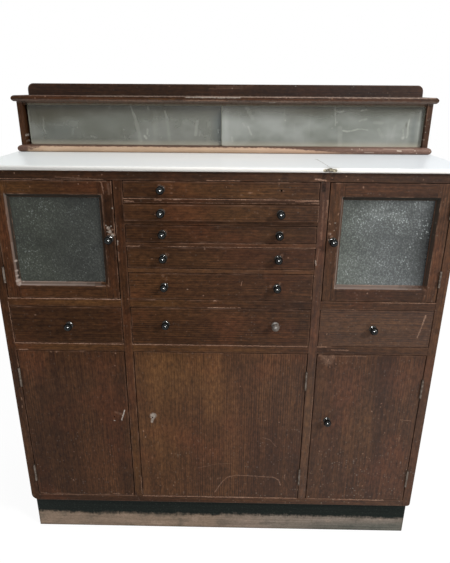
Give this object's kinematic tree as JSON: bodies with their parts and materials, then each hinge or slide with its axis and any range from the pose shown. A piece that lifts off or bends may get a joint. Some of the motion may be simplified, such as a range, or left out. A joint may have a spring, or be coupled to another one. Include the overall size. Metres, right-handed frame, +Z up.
{
  "type": "instrument cabinet",
  "caption": "Wooden instrument cabinet with inset doors and drawers, obscured-glass upper doors, a white glass worktop and a low display case with sliding glass panes.",
  "frame": {"origin": "on the floor, under the middle of the carcass", "axes": "+Z up, the front faces -Y, +X to the viewer's right"},
  "size_m": [1.042, 0.371, 1.16],
  "materials": {
    "dark_oak": "dark reddish-brown stain and worn varnish on open-grained oak, nicked and rubbed pale on its edges",
    "plain_wood": "bare aged softwood inside the cabinet",
    "plinth_paint": "green-black paint, worn to bare grey-brown wood on the lower half",
    "milk_glass": "opaque white polished glass with a rounded edge",
    "case_glass": "old clear glass, dusty and smeared",
    "obscured_glass": "stippled obscured glass",
    "hinge_steel": "dull worn steel",
    "black_knob": "polished black ball knobs"
  },
  "bodies": {
    "carcass": {"plinth": "plinth_paint", "bottom_board": "dark_oak", "side_left": "dark_oak", "side_right": "dark_oak", "divider_left": "dark_oak", "divider_right": "dark_oak", "dust_boards": "dark_oak", "drawer_rails": "dark_oak", "top_board": "dark_oak", "back_panel": "plain_wood", "door_stops": "plain_wood", "worktop": "milk_glass", "case_base": "dark_oak", "case_side_left": "dark_oak", "case_side_right": "dark_oak", "case_top": "dark_oak", "case_back": "dark_oak", "case_top_track": "dark_oak", "hinge_fixed_leaves": "hinge_steel"},
    "drawer_1": {"drawer_1_front": "dark_oak", "drawer_1_box": "plain_wood", "drawer_1_knobs": "black_knob"},
    "drawer_2": {"drawer_2_front": "dark_oak", "drawer_2_box": "plain_wood", "drawer_2_knobs": "black_knob"},
    "drawer_3": {"drawer_3_front": "dark_oak", "drawer_3_box": "plain_wood", "drawer_3_knobs": "black_knob"},
    "drawer_4": {"drawer_4_front": "dark_oak", "drawer_4_box": "plain_wood", "drawer_4_knobs": "black_knob"},
    "drawer_5": {"drawer_5_front": "dark_oak", "drawer_5_box": "plain_wood", "drawer_5_knobs": "black_knob"},
    "drawer_6": {"drawer_6_front": "dark_oak", "drawer_6_box": "plain_wood", "drawer_6_knobs": "black_knob"},
    "drawer_left": {"drawer_left_front": "dark_oak", "drawer_left_box": "plain_wood", "drawer_left_knob": "black_knob"},
    "drawer_right": {"drawer_right_front": "dark_oak", "drawer_right_box": "plain_wood", "drawer_right_knob": "black_knob"},
    "glass_door_left": {"glass_door_left_frame": "dark_oak", "glass_door_left_pane": "obscured_glass", "glass_door_left_knob": "black_knob", "glass_door_left_hinges": "hinge_steel"},
    "glass_door_right": {"glass_door_right_frame": "dark_oak", "glass_door_right_pane": "obscured_glass", "glass_door_right_knob": "black_knob", "glass_door_right_hinges": "hinge_steel"},
    "door_left": {"door_left_panel": "dark_oak", "door_left_hinges": "hinge_steel"},
    "door_centre": {"door_centre_panel": "dark_oak", "door_centre_hinges": "hinge_steel"},
    "door_right": {"door_right_panel": "dark_oak", "door_right_hinges": "hinge_steel", "door_right_knob": "black_knob"},
    "case_pane_left": {"case_pane_left": "case_glass"},
    "case_pane_right": {"case_pane_right": "case_glass"}
  },
  "joints": [
    {"name": "drawer_1_slide", "type": "slide", "parent": "carcass", "child": "drawer_1", "axis": [0, -1, 0], "range_m": [0, 0.24]},
    {"name": "drawer_2_slide", "type": "slide", "parent": "carcass", "child": "drawer_2", "axis": [0, -1, 0], "range_m": [-0.01, 0.23]},
    {"name": "drawer_3_slide", "type": "slide", "parent": "carcass", "child": "drawer_3", "axis": [0, -1, 0], "range_m": [0, 0.24]},
    {"name": "drawer_4_slide", "type": "slide", "parent": "carcass", "child": "drawer_4", "axis": [0, -1, 0], "range_m": [0, 0.24]},
    {"name": "drawer_5_slide", "type": "slide", "parent": "carcass", "child": "drawer_5", "axis": [0, -1, 0], "range_m": [0, 0.24]},
    {"name": "drawer_6_slide", "type": "slide", "parent": "carcass", "child": "drawer_6", "axis": [0, -1, 0], "range_m": [0, 0.24]},
    {"name": "drawer_left_slide", "type": "slide", "parent": "carcass", "child": "drawer_left", "axis": [0, -1, 0], "range_m": [0, 0.24]},
    {"name": "drawer_right_slide", "type": "slide", "parent": "carcass", "child": "drawer_right", "axis": [0, -1, 0], "range_m": [0, 0.24]},
    {"name": "glass_door_left_hinge", "type": "hinge", "parent": "carcass", "child": "glass_door_left", "pos_m": [-0.487, -0.1725, 0.834], "axis": [0, 0, -1], "range_deg": [0, 110]},
    {"name": "glass_door_right_hinge", "type": "hinge", "parent": "carcass", "child": "glass_door_right", "pos_m": [0.487, -0.1725, 0.834], "axis": [0, 0, 1], "range_deg": [0, 110]},
    {"name": "door_left_hinge", "type": "hinge", "parent": "carcass", "child": "door_left", "pos_m": [-0.487, -0.1725, 0.3455], "axis": [0, 0, -1], "range_deg": [0, 110]},
    {"name": "door_centre_hinge", "type": "hinge", "parent": "carcass", "child": "door_centre", "pos_m": [0.207, -0.1725, 0.3455], "axis": [0, 0, 1], "range_deg": [0, 110]},
    {"name": "door_right_hinge", "type": "hinge", "parent": "carcass", "child": "door_right", "pos_m": [0.487, -0.1725, 0.3455], "axis": [0, 0, 1], "range_deg": [0, 110]},
    {"name": "case_pane_left_slide", "type": "slide", "parent": "carcass", "child": "case_pane_left", "axis": [1, 0, 0], "range_m": [-0.0045, 0.48475]},
    {"name": "case_pane_right_slide", "type": "slide", "parent": "carcass", "child": "case_pane_right", "axis": [1, 0, 0], "range_m": [-0.48925, 0]}
  ]
}
